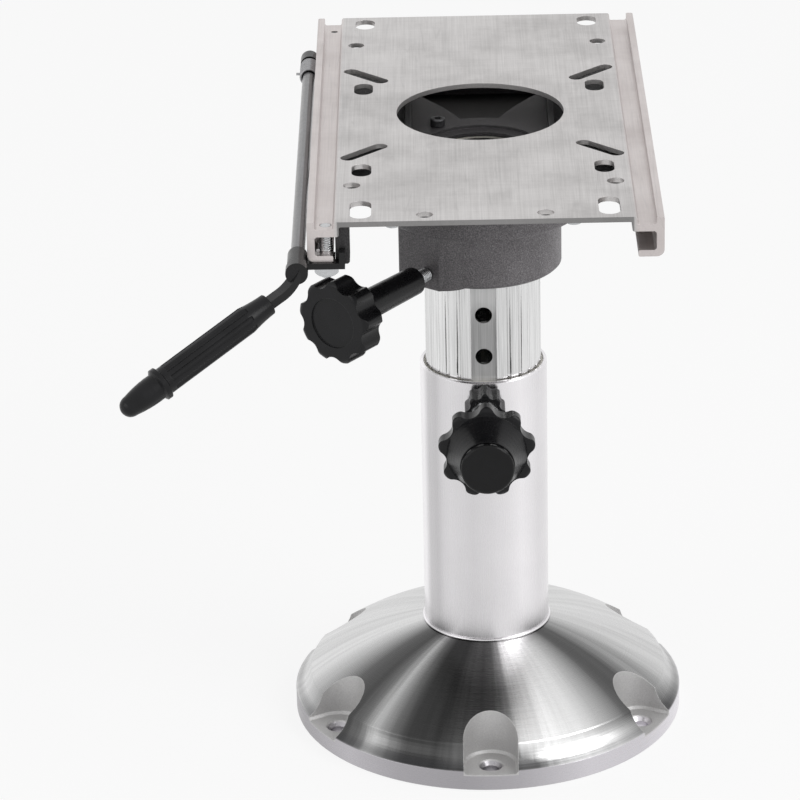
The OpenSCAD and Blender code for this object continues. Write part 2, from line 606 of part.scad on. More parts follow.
module lock_pawl() color("#3a3b3e") difference() {
  along_y(notch_y - 2.4, notch_y + 2.4) polygon([[rod_x - rod_r, rod_z - 1.6],
    [rod_x + rod_r + 0.4, rod_z - 1.6], [rod_x + 8, rod_z - 3], [rod_x + 14, rod_z - 7.2],
    [rack_x0 - 1.2, rod_z - 7.2], [rack_x0 + 0.6, rack_z - 0.6], [rack_x1 - 0.6, rack_z - 0.6],
    [rack_x1, rack_z - 1.4], [rack_x1, rod_z - 11], [rod_x + 10, rod_z - 11],
    [rod_x - 1, rod_z - rod_r - 3], [rod_x - rod_r, rod_z - 4]]);
  on_rod(notch_y - 10) cylinder(h = 20, r = rod_r + seat_fit);
}
module lever_arm() color("#202123") difference() {
  union() {
    on_rod(rod_front - 2) cylinder(h = 7, r = rod_r + 2.2);
    on_lever() rotate([90, 0, 0]) translate([0, 0, -3.5]) linear_extrude(height = 7)
      polygon(concat(bowed([-21.5, 5.4 - arm_t/2], [-5, -arm_t/2], 1.8, 9), [[60, -arm_t/2],
        [60, arm_t/2]], bowed([-5, arm_t/2], [-21.5, 5.4 + arm_t/2], -1.8, 9)));
  }
  on_rod(rod_front) cylinder(h = 20, r = rod_r + seat_fit);
  translate([rod_x - 40, bolt_y - 14.8, rod_z - 60]) cube([80, 60, 120]);
}
module lever_grip() color("#1b1b1d") on_lever() difference() {
  rotate([0, 90, 0]) rotate_extrude() polygon(concat([[0, 1], [grip_d/2 - 1.4, 1]],
    bowed([grip_d/2 - 1, 1.4], [grip_d/2 + 0.6, 16], -0.3, 5),
    [[grip_d/2 + 0.6, grip_l - 28], [grip_d/2 + 2.2, grip_l - 27],
    [grip_d/2 + 2.2, grip_l - 24.6], [grip_d/2 + 0.4, grip_l - 23.4]],
    bowed([grip_d/2 + 0.4, grip_l - 23], [grip_d/2 - 1, grip_l - 7], 0.5, 5),
    bowed([grip_d/2 - 1.1, grip_l - 6.6], [0, grip_l], 1.9, 7)));
  for (i = [0:7]) rotate([45*i + 22.5, 0, 0]) translate([14, 0, grip_d/2 + 1.6])
    rotate([0, 90, 0]) cylinder(h = grip_l - 45, r = 2.1);
  translate([-5, -3.5 - seat_fit, -arm_t/2 - seat_fit])
    cube([65.2, 7 + 2*seat_fit, arm_t + 2*seat_fit]);
}

// runners, liners and rack
module runner() along_y(runner_front, runner_rear) polygon([[runner_in, head_top],
  [tongue_x0 + 0.9, head_top], [tongue_x0 + 0.9, tongue_z0], [tongue_x1 - 0.5, tongue_z0],
  [tongue_x1, tongue_z0 + 0.5], [tongue_x1, tongue_z1 - 0.5], [tongue_x1 - 0.5, tongue_z1],
  [tongue_x0, tongue_z1], [tongue_x0 - 3, head_top + runner_t],
  [runner_in + 4, head_top + runner_t], [runner_in + 3.4, head_top + runner_t + 2.4],
  [runner_in, head_top + runner_t + 2.4]]);
module runner_holes() for (y = [-1, 1]) translate([carriage_x, y*carriage_y, head_top - 5])
  cylinder(h = 20, r = carriage_bolt_d/2 + seat_fit);
module glide() along_y(runner_front, runner_rear) polygon([
  [lip_x + 1, tongue_z0 - seat_fit], [lip_x + 1, hollow_z + running_fit],
  [wall_x - 1.2, hollow_z + running_fit], [wall_x - running_fit, hollow_z + 1.2],
  [wall_x - running_fit, strip_under - 1.2], [wall_x - 1.2, strip_under - running_fit],
  [lip_x + 1, strip_under - running_fit], [lip_x + 1, tongue_z1 + seat_fit],
  [tongue_x1 - 0.5, tongue_z1 + seat_fit], [tongue_x1 + seat_fit, tongue_z1 - 0.5],
  [tongue_x1 + seat_fit, tongue_z0 + 0.5], [tongue_x1 - 0.5, tongue_z0 - seat_fit]]);
module left_runner() color("#3c3d40") mirror([1, 0, 0]) difference() {
  runner();
  runner_holes();
}
module right_runner() color("#3c3d40") difference() {
  runner();
  runner_holes();
}
module left_glide() color("#e8e6df") mirror([1, 0, 0]) glide();
module right_glide() color("#e8e6df") glide();
module lock_rack() color("#55565a") difference() {
  translate([rack_x0, notch_y - 3*notch_pitch + 3, rack_z])
    cube([rack_x1 - rack_x0, 9*notch_pitch - 6, head_top - rack_z]);
  for (k = [-2:5]) translate([rack_x0 - e, notch_y + k*notch_pitch - 3.3, rack_z - 1])
    cube([rack_x1 - rack_x0 + 2*e, 6.6, 6.2]);
}
module carriage_bolts() color("#77797c") for (x = [-1, 1], y = [-1, 1])
  translate([x*carriage_x, y*carriage_y, head_top - 19]) {
    cylinder(h = 19 + runner_t + 1, r = carriage_bolt_d/2);
    translate([0, 0, 19 + runner_t]) cylinder(h = 4.5, r = carriage_bolt_d*0.85, $fn = 6);
  }
module carriage_nuts() color("#9b9da0") for (x = [-1, 1], y = [-1, 1])
  translate([x*carriage_x, y*carriage_y, head_top - 17.5]) difference() {
    cylinder(h = 6.5, r = carriage_bolt_d*0.85, $fn = 6);
    translate([0, 0, -e]) cylinder(h = 10, r = carriage_bolt_d/2 + seat_fit);
  }

base();
base_ring();
outer_tube();
upper_bushing();
pin_sleeve();
sleeve_cap();
pin_spring();
tension_collar();
locking_pin();
knob_insert();
height_knob();
height_knob_cap();
post();
lower_bushing();
thrust_washer();
spider();
swivel_bushing();
brake_shoe();
hub_screw();
left_runner();
right_runner();
left_glide();
right_glide();
lock_rack();
carriage_bolts();
carriage_nuts();
lock_stud();
swivel_knob();
swivel_knob_insert();
seat_plate();
front_stop();
rod_bracket();
bracket_bolt();
bracket_nut();
bracket_pin();
rear_screw();
rear_clip();
return_spring();
lever_rod();
lever_arm();
lever_grip();
lock_pawl();
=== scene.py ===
"""Looks of the boat seat pedestal: materials, threads, coils, studio and camera."""
import json
import math

import bpy
from mathutils import Matrix, Vector

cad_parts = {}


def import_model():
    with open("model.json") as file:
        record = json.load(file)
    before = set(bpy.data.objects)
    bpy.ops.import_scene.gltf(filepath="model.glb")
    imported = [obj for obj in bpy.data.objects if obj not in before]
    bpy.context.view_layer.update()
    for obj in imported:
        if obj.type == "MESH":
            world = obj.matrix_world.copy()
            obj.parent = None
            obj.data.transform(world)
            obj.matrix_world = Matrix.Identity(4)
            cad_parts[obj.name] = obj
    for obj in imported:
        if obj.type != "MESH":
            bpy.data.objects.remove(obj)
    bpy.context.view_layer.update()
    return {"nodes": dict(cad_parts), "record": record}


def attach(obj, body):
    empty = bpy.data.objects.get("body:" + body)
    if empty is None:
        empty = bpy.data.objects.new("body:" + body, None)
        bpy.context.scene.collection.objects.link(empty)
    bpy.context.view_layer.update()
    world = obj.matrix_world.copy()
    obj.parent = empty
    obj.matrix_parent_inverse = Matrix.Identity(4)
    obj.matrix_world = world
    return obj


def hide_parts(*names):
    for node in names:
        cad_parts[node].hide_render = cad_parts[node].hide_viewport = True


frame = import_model()
NODES = frame["nodes"]
MM = 0.001

# Sizes of the part that the added pieces follow, in millimetres.
LOCK_DIR = Vector((-math.sin(math.radians(36.7)), -math.cos(math.radians(36.7)), 0))
LOCK_Z = 291.2
BOSS_FACE, KNOB_SLEEVE = 52.34, 64.94
STUD_R = 3.65
BOLT_X, BOLT_Y, BOLT_R = -84.5, -161.5, 3.175
REAR_SCREW = (-84.5, 156.5, 1.95)
HOLLOW = (353.5, 364.1)
ROD_X, ROD_Z, ROD_R = -99.75, 349.6, 3.8
COIL_Y0, COIL_Y1, WIRE_R = 128.0, 147.6, 0.8
COIL_TURNS, COIL_STEPS, COIL_FIT = 12, 20, 0.14
BOLT_END_Z = 339.1

# Places where a look changes, in millimetres.
RIM_TOP, POCKET_R, POCKET_FLOOR = 12.0, 15.7, 9.6
SCREW_CIRCLE_R, POCKETS = 102.0, 6
CHANNEL_HALF, CHANNEL_FACE_Y = 7.1, -31.4
PLATE_FRONT_Y, STRIP_X = -169.0, 80.0
ARM_FLOOR_Z = 344.0

# The photograph's camera: turns in radians, place in metres, lens in millimetres.
YAW, PITCH, ROLL = -0.0120, 0.4130, -0.0230
CAMERA_AT = (-0.02706, -2.2259, 1.1712)
LENS, SENSOR, SHIFT_X = 188.5, 36.0, 0.011
# Share of the floor that shows plain white to the camera and in mirrors
FLOOR_WHITE = 0.84


# Shader helpers
class Paint:
    """Builds one procedural material; coordinates are the part's own, in millimetres."""

    def __init__(self, name, color, rough, metal=0.0, **more):
        self.mat = bpy.data.materials.new(name)
        self.mat.use_nodes = True
        self.tree = self.mat.node_tree
        self.bsdf = self.tree.nodes["Principled BSDF"]
        self.set(Roughness=rough, Metallic=metal, **{"Base Color": (*color, 1)}, **more)
        self.height = None
        self.where = self.node("Mapping", {
            "Vector": self.tree.nodes.new("ShaderNodeTexCoord").outputs["Object"],
            "Scale": (1000, 1000, 1000)})

    def set(self, **values):
        for key, value in values.items():
            self.put(self.bsdf.inputs[key], value)

    def put(self, socket, value):
        if isinstance(value, bpy.types.NodeSocket):
            self.tree.links.new(value, socket)
        else:
            socket.default_value = value

    def node(self, kind, inputs=None, out=0, **props):
        n = self.tree.nodes.new("ShaderNode" + kind)
        for key, value in props.items():
            setattr(n, key, value)
        for key, value in (inputs or {}).items():
            self.put(n.inputs[key], value)
        return n.outputs[out]

    def calc(self, operation, a, b=0.0):
        return self.node("Math", {0: a, 1: b}, operation=operation)

    def axes(self):
        n = self.tree.nodes.new("ShaderNodeSeparateXYZ")
        self.tree.links.new(self.where, n.inputs[0])
        return n.outputs

    def stretch(self, x, y, z, turn=0.0):
        return self.node("Mapping", {"Vector": self.where, "Scale": (x, y, z),
                                     "Rotation": (0, 0, turn)})

    def noise(self, scale, vector=None, detail=3.0, rough=0.55, distortion=0.0):
        return self.node("TexNoise", {
            "Vector": self.where if vector is None else vector, "Scale": scale,
            "Detail": detail, "Roughness": rough, "Distortion": distortion})

    def ramp(self, fac, stops):
        n = self.tree.nodes.new("ShaderNodeValToRGB")
        self.tree.links.new(fac, n.inputs[0])
        ramp = n.color_ramp
        while len(ramp.elements) < len(stops):
            ramp.elements.new(0.5)
        for e, (pos, value) in zip(ramp.elements, stops):
            e.position = pos
            e.color = (value, value, value, 1) if isinstance(value, (int, float)) \
                else (*value, 1)
        return n.outputs[0]

    def span(self, value, a, b, c=0.0, d=1.0):
        return self.node("MapRange", {"Value": value, "From Min": a, "From Max": b,
                                      "To Min": c, "To Max": d})

    def blend(self, fac, a, b, mode="MIX"):
        n = self.tree.nodes.new("ShaderNodeMix")
        n.data_type, n.blend_type = "RGBA", mode
        for socket, value in ((n.inputs[0], fac), (n.inputs[6], a), (n.inputs[7], b)):
            if isinstance(value, tuple):
                value = (*value, 1)[:4]
            self.put(socket, value)
        return n.outputs[2]

    def around(self, x=0.0, y=0.0):
        """Angle about a vertical axis, 0 at the back, 0.5 at the front, in turns."""
        ax = self.axes()
        angle = self.calc("ARCTAN2", self.calc("SUBTRACT", ax[0], x),
                          self.calc("MULTIPLY", self.calc("SUBTRACT", ax[1], y), -1.0))
        return self.span(angle, -math.pi, math.pi)

    def relief(self, height, depth, strength=1.0, edge=0.0):
        """Adds a bump of that depth in millimetres, over rounded edges."""
        inputs = {"Height": height, "Distance": depth*MM, "Strength": strength}
        if self.height is not None:
            inputs["Normal"] = self.height
        elif edge:
            inputs["Normal"] = self.node("Bevel", {"Radius": edge*MM}, samples=4)
        self.height = self.node("Bump", inputs)
        self.put(self.bsdf.inputs["Normal"], self.height)

    def scratches(self, amount, scale, turn):
        """Thin random lines: where a stretched noise crosses its middle value."""
        n = self.noise(scale, self.stretch(1.0, 0.035, 1.0, turn), 1.0, 0.4, 0.3)
        line = self.calc("ABSOLUTE", self.calc("SUBTRACT", n, 0.5))
        gate = self.span(self.noise(scale*0.25, None, 1.0), 0.5, 0.62)
        return self.calc("MULTIPLY", self.span(line, 0.0, 0.012, amount, 0.0), gate)


def turned_base():
    """Turned casting: painted reflection wedges on the cone and on the upright rim, set by angle
    round the axis, a painted dark band of shade just above the rim, and matte pockets.
    """
    p = Paint("base_turned_aluminium", (0.6, 0.6, 0.62), 0.27, 1.0, Anisotropic=0.4)
    p.put(p.bsdf.inputs["Tangent"], p.node("Tangent", direction_type="RADIAL", axis="Z"))
    ax = p.axes()
    z, angle = ax[2], p.around()
    radius = p.calc("POWER", p.calc("ADD", p.calc("MULTIPLY", ax[0], ax[0]),
                                    p.calc("MULTIPLY", ax[1], ax[1])), 0.5)
    streak = p.noise(1.0, p.node("CombineXYZ", {0: p.calc("MULTIPLY", angle, 90.0),
                                                1: p.calc("MULTIPLY", z, 0.01)}), 4.0, 0.7)
    wobble = p.calc("ADD", angle, p.calc("MULTIPLY", p.calc("SUBTRACT", streak, 0.5), 0.02))
    # Painted reflection: near the shoulder the wedges are shifted round by up to 0.03 turn.
    shoulder = p.span(z, 24.0, 14.0)
    wobble = p.calc("SUBTRACT", wobble, p.calc("MULTIPLY", shoulder,
                                               p.span(angle, 0.47, 0.53, 0.0, 0.03)))
    # Painted reflection: brightness of the turned cone by angle round the axis, in degrees from
    # the front, positive to the right, in place of mirrored light wedges.
    stops = [(-180, .58), (-110, .68), (-82, .72), (-70, .38), (-61, .12), (-50, .07),
             (-44, .18), (-39, .48), (-33, .16), (-27, .05), (-17, .05), (-9, .13),
             (3, .18), (8, .6), (13, .92), (21, .94), (31, .75), (41, .38), (50, .10),
             (59, .10), (70, .32), (80, .58), (100, .66), (180, .58)]
    tone = p.ramp(wobble, [(a/360 + 0.5, v) for a, v in stops])
    face = p.blend(1.0, tone, p.ramp(streak, [(0.3, 0.82), (0.7, 1.1)]), "MULTIPLY")
    # Painted shade: a dark band on the shoulder just above the rim.
    painted_shade_band = p.calc("MULTIPLY", p.span(z, RIM_TOP - 0.2, RIM_TOP + 1.0),
                  p.span(z, RIM_TOP + 5.0, RIM_TOP + 2.0))
    face = p.blend(p.calc("MULTIPLY", painted_shade_band, 0.35), face, (0.04, 0.04, 0.045))
    # Painted reflection on the upright rim, by angle round the axis; the lilac tint below is the
    # rim's own colour.
    rim = p.ramp(angle, [(a/360 + 0.5, v) for a, v in (
        (-180, .5), (-90, .36), (-72, .34), (-45, .52), (-28, .40), (-8, .36), (8, .42),
        (30, .66), (50, .64), (70, .76), (90, .84), (180, .5))])
    rim = p.blend(1.0, rim, (1.0, 0.97, 1.02), "MULTIPLY")
    face = p.blend(p.span(z, RIM_TOP + 0.4, RIM_TOP - 0.2), face, rim)
    sector = p.calc("MULTIPLY", p.calc("SUBTRACT", p.calc("FRACT", p.calc(
        "ADD", p.calc("MULTIPLY", angle, float(POCKETS)), 0.5)), 0.5), 2*math.pi/POCKETS)
    side = p.calc("ABSOLUTE", p.calc("MULTIPLY", radius, p.calc("SINE", sector)))
    deep = p.calc("SUBTRACT", p.calc("MULTIPLY", radius, p.calc("COSINE", sector)), SCREW_CIRCLE_R)
    inward = p.calc("MINIMUM", deep, 0.0)
    away = p.calc("POWER", p.calc("ADD", p.calc("MULTIPLY", side, side),
                                  p.calc("MULTIPLY", inward, inward)), 0.5)
    pocket = p.calc("MULTIPLY", p.span(away, POCKET_R + 0.13, POCKET_R + 0.05),
                    p.span(z, POCKET_FLOOR - 0.6, POCKET_FLOOR))
    grain = p.noise(1.4, None, 5.0, 0.7)
    matte = p.ramp(grain, [(0.3, (0.46, 0.455, 0.455)), (0.7, (0.62, 0.615, 0.61))])
    face = p.blend(pocket, face, matte)
    p.set(**{"Base Color": face, "Metallic": p.span(pocket, 0.0, 1.0, 1.0, 0.55)})
    rings = p.noise(1.0, p.node("CombineXYZ", {0: p.calc("MULTIPLY", radius, 5.0),
                                               1: p.calc("MULTIPLY", z, 3.0),
                                               2: p.calc("MULTIPLY", angle, 3.0)}), 2.0)
    p.set(Roughness=p.calc("ADD", p.span(rings, 0.3, 0.7, 0.24, 0.34),
                           p.calc("MULTIPLY", pocket, 0.2)))
    p.relief(rings, 0.003, 0.5, 0.6)
    p.relief(p.calc("MULTIPLY", grain, pocket), 0.12, 0.6)
    return p.mat


def drawn_tube(name, rough, stops, dark, tint=(1.0, 0.98, 1.0), scale=2.2):
    """Anodised extrusion with fine lines along it and soft upright bands of painted reflection,
    set by angle round the axis.
    """
    p = Paint(name, (0.7, 0.7, 0.7), rough, 1.0)
    lines = p.noise(scale, p.stretch(1, 1, 0.012), 3.0, 0.6)
    fog = p.noise(0.03, None, 2.0)
    # Painted reflection: brightness by angle round the axis, from the table given.
    tone = p.ramp(p.around(), [(a/360 + 0.5, v) for a, v in stops])
    tone = p.blend(1.0, tone, p.ramp(lines, [(0.3, dark), (0.6, 1.0)]), "MULTIPLY")
    tone = p.blend(1.0, tone, p.ramp(fog, [(0.35, 0.96), (0.65, 1.0)]), "MULTIPLY")
    p.set(**{"Base Color": p.blend(1.0, tone, tint, "MULTIPLY")})
    p.set(Roughness=p.span(lines, 0.3, 0.7, rough - 0.04, rough + 0.05))
    p.relief(lines, 0.005, 0.4, 0.25)
    return p


# Painted reflection on the tube and on the post: brightness by angle round the axis, in degrees
# from the front, positive to the right.
TUBE_PAINTED_REFLECTION = [(-180, .74), (-110, .76), (-88, .95), (-72, .94), (-62, .62), (-50, .58),
              (-42, .70), (-34, .74), (-12, .68), (4, .72), (20, .80), (34, .90), (44, .86),
              (56, .78), (70, .80), (90, .86), (110, .78), (180, .74)]
POST_PAINTED_REFLECTION = [(-180, .75), (-90, .72), (-70, .82), (-50, .86), (-25, .74), (-12, .70),
              (0, .74), (25, .70), (45, .84), (65, .88), (80, .76), (180, .75)]


def fluted_post():
    """The post's channel is duller than its flutes, so it doesn't mirror the knob."""
    p = drawn_tube("post_anodised", 0.17, POST_PAINTED_REFLECTION, 0.72, (1.0, 1.0, 1.0), 1.6)
    ax = p.axes()
    flat = p.calc("MULTIPLY", p.span(p.calc("ABSOLUTE", ax[0]), CHANNEL_HALF + 0.3, CHANNEL_HALF),
                  p.span(ax[1], CHANNEL_FACE_Y + 0.4, CHANNEL_FACE_Y))
    p.set(Metallic=p.span(flat, 0.0, 1.0, 1.0, 0.3))
    return p.mat


def mill_plate():
    """Bare extruded plate: fine length marks, scratches, smudges, pinkish strips."""
    p = Paint("plate_mill_aluminium", (0.58, 0.56, 0.56), 0.42, 1.0)
    ax = p.axes()
    along = p.noise(1.4, p.stretch(1, 0.012, 1), 4.0, 0.6)
    across = p.noise(0.5, p.stretch(0.05, 1, 1), 3.0, 0.6)
    smudge = p.noise(0.022, None, 5.0, 0.62)
    pits = p.noise(0.9, None, 6.0, 0.75)
    tone = p.ramp(along, [(0.28, (0.50, 0.485, 0.48)), (0.5, (0.56, 0.545, 0.54)),
                          (0.72, (0.61, 0.595, 0.59))])
    tone = p.blend(1.0, tone, p.ramp(across, [(0.3, 0.96), (0.7, 1.02)]), "MULTIPLY")
    tone = p.blend(1.0, tone, p.ramp(smudge, [(0.32, 0.84), (0.55, 1.0), (0.75, 1.07)]),
                   "MULTIPLY")
    tone = p.blend(1.0, tone, p.ramp(pits, [(0.2, 0.82), (0.36, 1.0)]), "MULTIPLY")
    side = p.span(p.calc("ABSOLUTE", ax[0]), STRIP_X - 1.2, STRIP_X + 0.2)
    tone = p.blend(p.calc("MULTIPLY", side, 0.45), tone, (0.66, 0.585, 0.57))
    marks = None
    for amount, scale, turn in ((0.30, 0.05, 0.9), (0.26, 0.07, -1.1), (0.22, 0.11, 2.3),
                                (0.24, 0.16, 1.3), (0.20, 0.2, 0.4)):
        line = p.scratches(amount, scale, turn)
        marks = line if marks is None else p.calc("MAXIMUM", marks, line)
    tone = p.blend(marks, tone, (0.34, 0.33, 0.33))
    sawn = p.calc("MULTIPLY", p.span(ax[1], PLATE_FRONT_Y + 0.2, PLATE_FRONT_Y),
                  p.span(p.calc("ABSOLUTE", ax[0]), STRIP_X - 1.4, STRIP_X - 2.0))
    p.set(**{"Base Color": p.blend(p.calc("MULTIPLY", sawn, 0.7), tone, (0.12, 0.12, 0.12))})
    p.set(Roughness=p.span(smudge, 0.3, 0.7, 0.52, 0.36))
    p.relief(along, 0.006, 0.4, 0.35)
    p.relief(marks, -0.015, 0.4)
    return p.mat


def cast_coat(name, color, rough, grain=1.0):
    """Sand-textured coat on a casting, with light and dark grains and rounded edges; painted light
    makes it lighter towards +X, painted shade darkens it above the arm floor and paints the arm
    floor near black.
    """
    p = Paint(name, color, rough, 0.35)
    sand = p.noise(1.5*grain, None, 4.0, 0.65)
    fine = p.node("TexVoronoi", {"Vector": p.where, "Scale": 1.1*grain})
    patch = p.noise(0.05, None, 3.0)
    tone = p.ramp(sand, [(0.34, tuple(c*0.6 for c in color)), (0.5, color),
                         (0.66, tuple(min(1, c*1.8) for c in color))])
    tone = p.blend(1.0, tone, p.ramp(patch, [(0.3, 0.88), (0.7, 1.1)]), "MULTIPLY")
    ax = p.axes()
    # Painted shade: the web floor between the arms, at ARM_FLOOR_Z, is painted near black.
    painted_floor_shade = p.calc("MULTIPLY", p.span(ax[2], ARM_FLOOR_Z + 0.5, ARM_FLOOR_Z + 0.2),
                    p.span(ax[2], ARM_FLOOR_Z - 0.6, ARM_FLOOR_Z - 0.3))
    # Painted light: the coat gets lighter towards +X, as if lit from the right; painted shade
    # darkens it to 0.4 above the arm floor.
    lit = p.calc("MULTIPLY", p.span(ax[0], -40.0, 55.0, 0.85, 1.9),
                 p.span(ax[2], ARM_FLOOR_Z, ARM_FLOOR_Z + 0.4, 1.0, 0.4))
    tone = p.blend(1.0, tone, p.node("CombineXYZ", {0: lit, 1: lit, 2: lit}), "MULTIPLY")
    p.set(**{"Base Color": p.blend(painted_floor_shade, tone, (0.006, 0.006, 0.006))})
    p.set(Roughness=p.span(sand, 0.3, 0.7, rough + 0.1, rough - 0.08))
    p.relief(sand, 0.35, 0.8, 0.9)
    p.relief(fine, 0.10, 0.35)
    return p.mat


def moulded(name, color, rough, edge=0.6, **more):
    """Satin plastic or black coat with a faint grain and rubbed edges."""
    p = Paint(name, color, rough, **more)
    grain = p.noise(2.5, None, 3.0, 0.6)
    wear = p.noise(0.09, None, 4.0, 0.6)
    tone = p.ramp(wear, [(0.3, tuple(c*0.8 for c in color)),
                         (0.7, tuple(c*1.25 for c in color))])
    p.set(**{"Base Color": tone})
    p.set(Roughness=p.span(wear, 0.3, 0.7, rough - 0.06, rough + 0.08))
    p.relief(grain, 0.05, 0.35, edge)
    return p.mat


def steel(name, color, rough, scale=(1, 1, 1), metal=1.0, edge=0.25):
    """Turned, drawn or plated steel with fine marks along the given direction."""
    p = Paint(name, color, rough, metal)
    lines = p.noise(2.4, p.stretch(*scale), 3.0, 0.6)
    spots = p.noise(0.35, None, 4.0, 0.6)
    tone = p.ramp(lines, [(0.3, tuple(c*0.78 for c in color)),
                          (0.7, tuple(min(1, c*1.1) for c in color))])
    tone = p.blend(1.0, tone, p.ramp(spots, [(0.3, 0.88), (0.65, 1.0)]), "MULTIPLY")
    p.set(**{"Base Color": tone})
    p.set(Roughness=p.span(spots, 0.3, 0.7, rough + 0.08, rough - 0.04))
    p.relief(lines, 0.01, 0.5, edge)
    return p.mat


LOOKS = {
    "base_aluminium": turned_base(),
    "tube_aluminium": drawn_tube("tube_anodised", 0.26, TUBE_PAINTED_REFLECTION, 0.985).mat,
    "post_aluminium": fluted_post(),
    "plate_aluminium": mill_plate(),
    "cast_dark": cast_coat("casting_coat", (0.095, 0.090, 0.094), 0.48),
    "runner_dark": cast_coat("runner_coat", (0.030, 0.030, 0.032), 0.45, 1.6),
    "black_plastic": moulded("black_moulded", (0.0075, 0.0075, 0.0085), 0.27,
                             **{"Specular IOR Level": 0.22}),
    "black_steel": moulded("black_coated_steel", (0.0075, 0.0075, 0.008), 0.24, 0.4,
                           **{"Specular IOR Level": 0.28}),
    "bright_steel": steel("bright_zinc", (0.56, 0.57, 0.58), 0.22),
    "spring_steel": steel("drawn_wire", (0.36, 0.36, 0.37), 0.26),
    "brass": steel("turned_brass", (0.62, 0.44, 0.17), 0.24),
    "nylon": moulded("natural_nylon", (0.66, 0.64, 0.58), 0.44),
}
OWN_LOOKS = {
    "height_knob_cap": moulded("cap_gloss", (0.005, 0.005, 0.0055), 0.13, 0.9,
                               **{"Specular IOR Level": 0.2}),
    "hub_screw": steel("dark_screw", (0.10, 0.10, 0.105), 0.3, metal=0.8),
    "lever_rod": steel("rod_bright", (0.20, 0.20, 0.205), 0.2, (1, 0.01, 1)),
}
for part in frame["record"]["subparts"]:
    look = OWN_LOOKS.get(part["node"]) or LOOKS[part["material_slot"]]
    mesh = NODES[part["node"]].data
    if not mesh.materials:
        mesh.materials.append(look)
    for i in range(len(mesh.materials)):
        mesh.materials[i] = look


# Added pieces
def mesh_piece(name, verts, faces, body, slot):
    mesh = bpy.data.meshes.new(name)
    mesh.from_pydata(verts, [], faces)
    mesh.materials.append(LOOKS[slot])
    mesh.shade_smooth()
    piece = bpy.data.objects.new(name, mesh)
    bpy.context.scene.collection.objects.link(piece)
    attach(piece, body)
    return piece


def frame_of(direction):
    z = direction.normalized()
    x = z.cross(Vector((0, 0, 1)) if abs(z.z) < 0.9 else Vector((0, 1, 0))).normalized()
    return x, z.cross(x), z


def thread(name, start, direction, length, radius, body, slot="bright_steel", pitch=1.2,
           depth=0.34):
    """Helical ridge with a rounded crest over a plain shank. Millimetres."""
    x, y, z = frame_of(direction)
    steps, verts, faces = 28, [], []
    count = int(length/pitch*steps)
    for i in range(count + 1):
        a = 2*math.pi*i/steps
        out = x*math.cos(a) + y*math.sin(a)
        at = start + z*(i/steps*pitch)
        fade = min(1, i/10, (count - i)/10)
        for dz, dr in ((0, -0.25), (0.36, depth*0.8*fade), (0.5, depth*fade),
                       (0.64, depth*0.8*fade), (1.0, -0.25)):
            verts.append(tuple((at + z*(dz*pitch*0.92) + out*(radius + dr))*MM))
    for i in range(count):
        for k in range(4):
            a = i*5 + k
            faces.append((a, a + 5, a + 6, a + 1))
    return mesh_piece(name, verts, faces, body, slot)


def wire(name, points, radius, body, slot, sides=12):
    """Round wire along a list of points, with closed ends. Millimetres."""
    verts, faces = [], []
    up = Vector((0, 0, 1))
    for i, at in enumerate(points):
        d = (points[min(i + 1, len(points) - 1)] - points[max(i - 1, 0)]).normalized()
        x = d.cross(up)
        x = x.normalized() if x.length > 0.05 else d.cross(Vector((1, 0, 0))).normalized()
        y = d.cross(x)
        up = y if y.dot(up) > 0 else -y
        if y.dot(up) < 0:
            x, y = -x, -y
        for k in range(sides):
            a = 2*math.pi*k/sides
            verts.append(tuple((at + (x*math.cos(a) + y*math.sin(a))*radius)*MM))
    for i in range(len(points) - 1):
        for k in range(sides):
            a, b = i*sides + k, i*sides + (k + 1) % sides
            faces.append((a, b, b + sides, a + sides))
    faces.append(tuple(range(sides))[::-1])
    faces.append(tuple(len(verts) - sides + k for k in range(sides)))
    return mesh_piece(name, verts, faces, body, slot)


thread("lock_stud_thread", LOCK_DIR*(BOSS_FACE + 0.2) + Vector((0, 0, LOCK_Z)), LOCK_DIR,
       KNOB_SLEEVE - BOSS_FACE - 0.4, STUD_R, "lock_body")
thread("bracket_bolt_thread", Vector((BOLT_X, BOLT_Y, HOLLOW[0] + 0.3)), Vector((0, 0, 1)),
       HOLLOW[1] - HOLLOW[0] - 0.8, BOLT_R, "seat_body", depth=0.45, pitch=1.3)
thread("bracket_bolt_end", Vector((BOLT_X, BOLT_Y, BOLT_END_Z)), Vector((0, 0, 1)), 1.8, BOLT_R,
       "seat_body")
thread("rear_screw_thread", Vector((REAR_SCREW[0], REAR_SCREW[1], HOLLOW[0] + 0.3)),
       Vector((0, 0, 1)), HOLLOW[1] - HOLLOW[0] - 0.8, REAR_SCREW[2], "seat_body",
       "black_steel", pitch=0.9, depth=0.25)


def coil_points():
    """Torsion spring: close coils round the rod, one leg under the rail, one on the clip."""
    r = ROD_R + COIL_FIT + WIRE_R
    count = COIL_TURNS*COIL_STEPS
    pts = []
    for i in range(6):
        pts.append(Vector((ROD_X + 13.5*(1 - i/6), COIL_Y0, ROD_Z - r)))
    for i in range(count + 1):
        a = -math.pi/2 - 2*math.pi*i/COIL_STEPS
        pts.append(Vector((ROD_X + r*math.cos(a), COIL_Y0 + (COIL_Y1 - COIL_Y0)*i/count,
                           ROD_Z + r*math.sin(a))))
    for i in range(1, 6):
        pts.append(Vector((ROD_X - i*1.6, COIL_Y1 + 0.1*i, ROD_Z - r)))
    return pts


coil = wire("return_coil", coil_points(), WIRE_R, "seat_body", "spring_steel")
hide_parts("return_spring")


